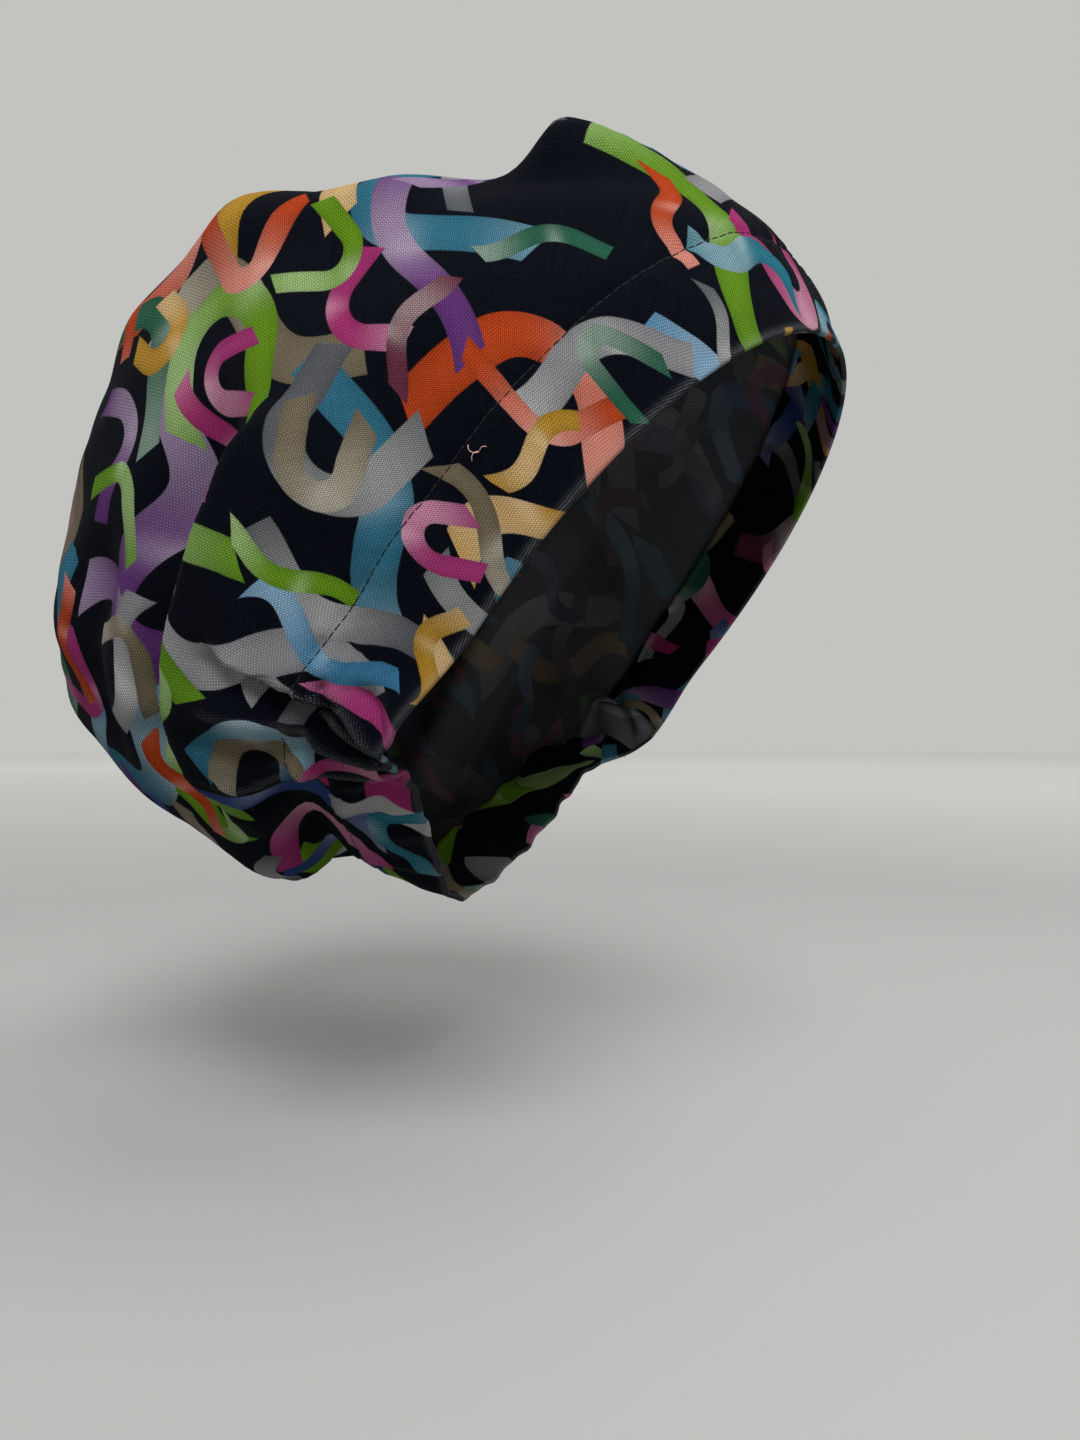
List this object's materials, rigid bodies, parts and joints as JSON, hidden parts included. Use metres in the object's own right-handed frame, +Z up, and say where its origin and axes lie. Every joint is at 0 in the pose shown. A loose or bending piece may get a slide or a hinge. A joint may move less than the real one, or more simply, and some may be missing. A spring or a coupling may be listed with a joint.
{
  "type": "scrub cap",
  "caption": "Bouffant printed cotton scrub cap in its worn form: hollow gathered bag, turned-in front facing, gathered nape edge.",
  "frame": {"origin": "centre of the head opening on the cap's middle plane, where the head sits", "axes": "+X the way the wearer faces, +Y the wearer's left, +Z up as the cap is worn"},
  "size_m": [0.2614, 0.1934, 0.2202],
  "materials": {
    "printed_cotton": "matt plain-weave cotton, near-black ground with a bright multicoloured strip print",
    "facing_cotton": "the same printed cotton, turned in along the front edge",
    "casing_cotton": "the same printed cotton, turned in and gathered along the nape edge",
    "black_thread": "matt spun sewing thread of the topstitch and the tacks"
  },
  "bodies": {
    "root": {"crown": "printed_cotton", "front_facing": "facing_cotton", "nape_casing": "casing_cotton"}
  },
  "joints": []
}
